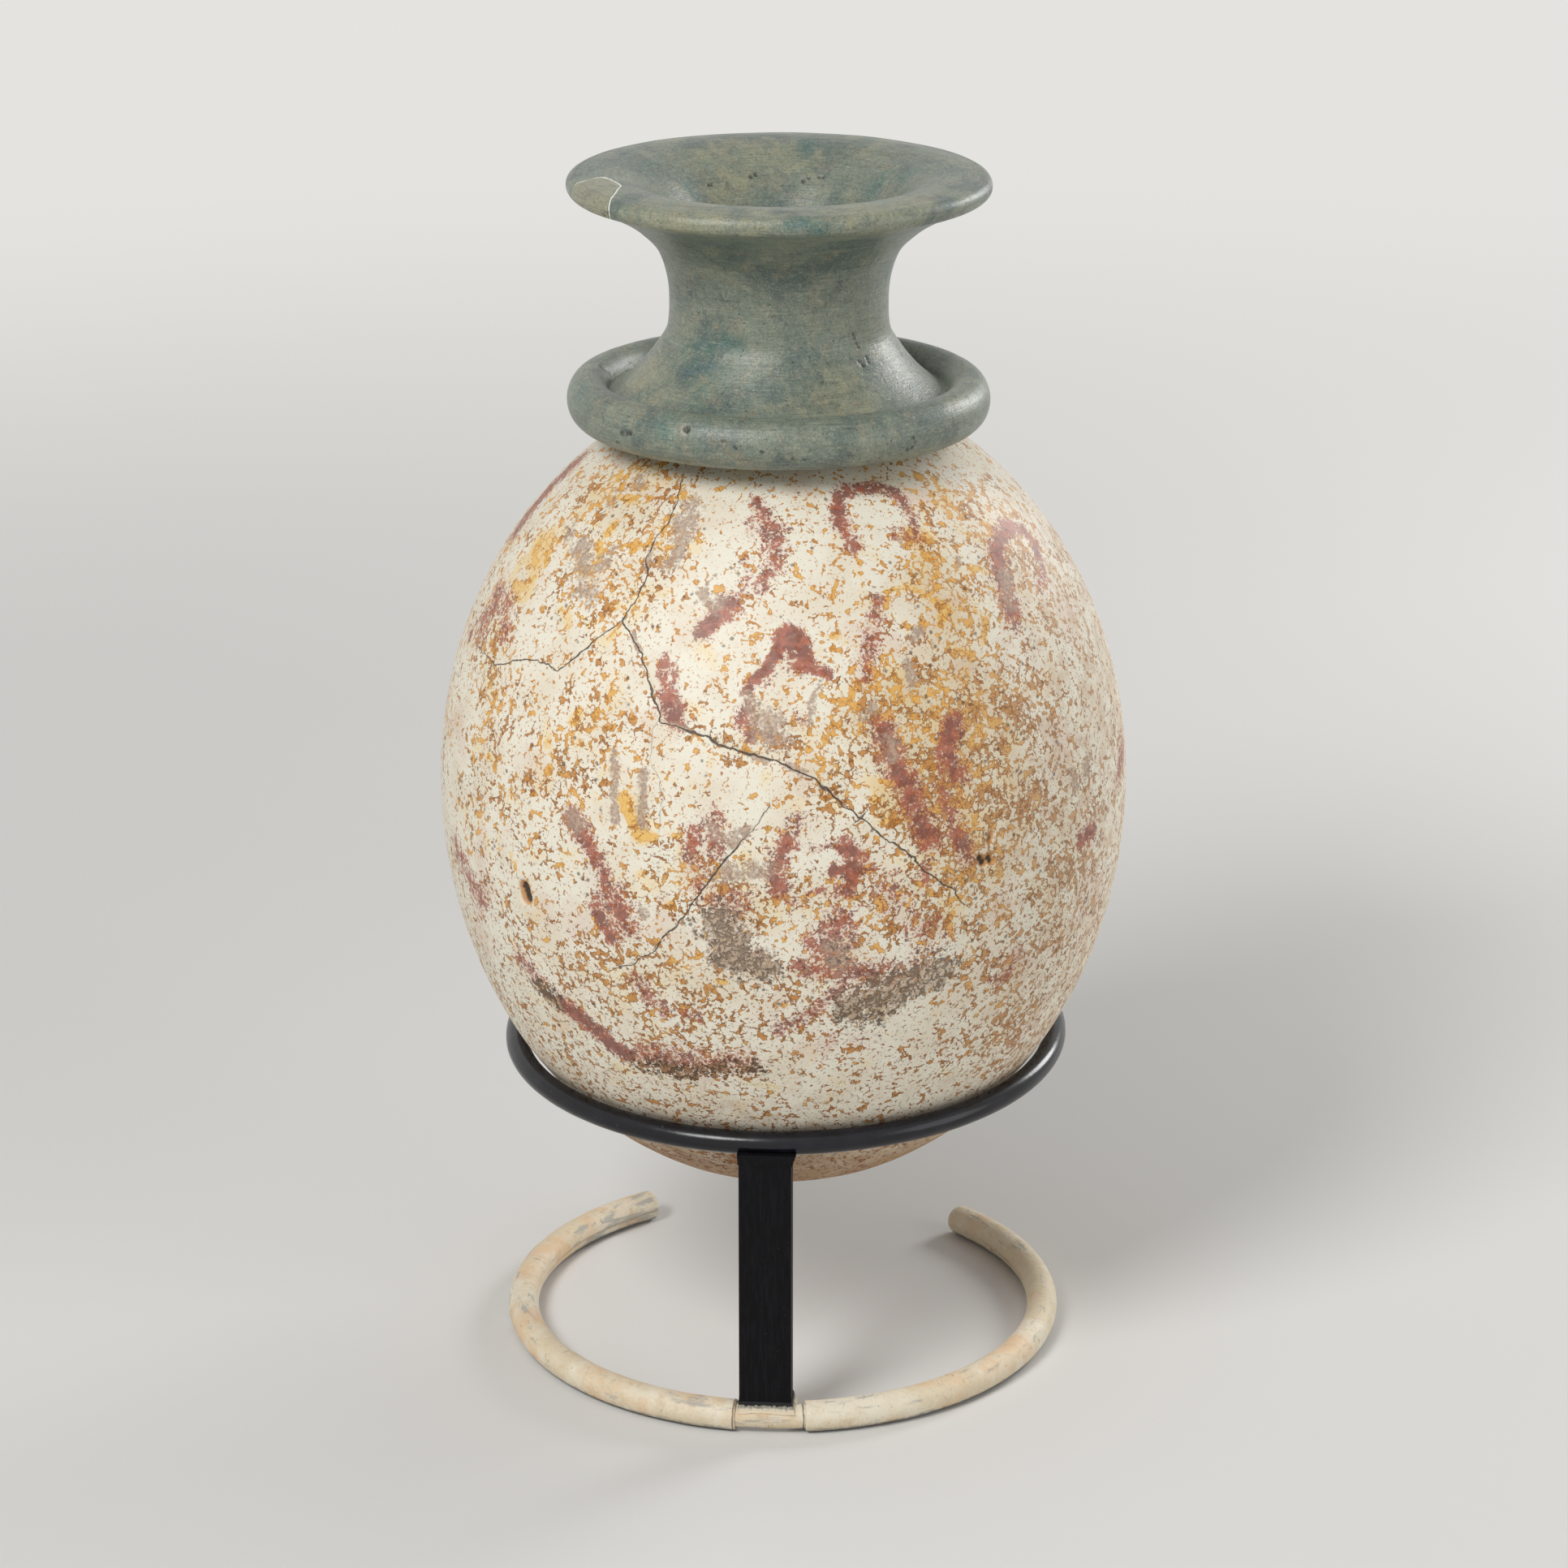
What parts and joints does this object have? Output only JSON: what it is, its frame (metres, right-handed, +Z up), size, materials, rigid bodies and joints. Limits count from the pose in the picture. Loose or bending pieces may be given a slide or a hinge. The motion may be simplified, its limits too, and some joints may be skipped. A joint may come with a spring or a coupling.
{
  "type": "ostrich egg rhyton on stand",
  "caption": "Ostrich egg rhyton: a hollow eggshell with a flared, flanged stone mouthpiece and a pouring hole below, resting in a rod ring stand with a C-shaped foot.",
  "frame": {"origin": "on the floor under the axis of the egg, which is the middle of the footprint", "axes": "+Z up along the egg's axis; the stand's post is on the -Y side, so the pictured front faces -Y"},
  "size_m": [0.127, 0.127, 0.2257],
  "materials": {
    "base_rod_paint": "worn cream paint",
    "sleeve_paint": "worn cream paint over thin tube",
    "post_paint": "satin black",
    "cradle_paint": "gloss black",
    "foot_weld": "bare grey",
    "eggshell": "aged ivory with ochre stains and worn red-brown paint",
    "mouth_stone": "polished grey-green stone",
    "glue": "white glue line",
    "bedding": "rough setting putty"
  },
  "bodies": {
    "stand": {"base_rod": "base_rod_paint", "left_sleeve": "sleeve_paint", "right_sleeve": "sleeve_paint", "post": "post_paint", "cradle_ring": "cradle_paint", "foot_weld": "foot_weld", "cradle_weld": "cradle_paint"},
    "rhyton": {"egg_shell": "eggshell", "mouthpiece": "mouth_stone", "lip_fragment": "mouth_stone", "lip_glue": "glue", "mouthpiece_bedding": "bedding"}
  },
  "joints": [
    {"name": "rhyton_lift", "type": "slide", "parent": "stand", "child": "rhyton", "axis": [0, 0, 1], "range_m": [0, 0.06]}
  ]
}
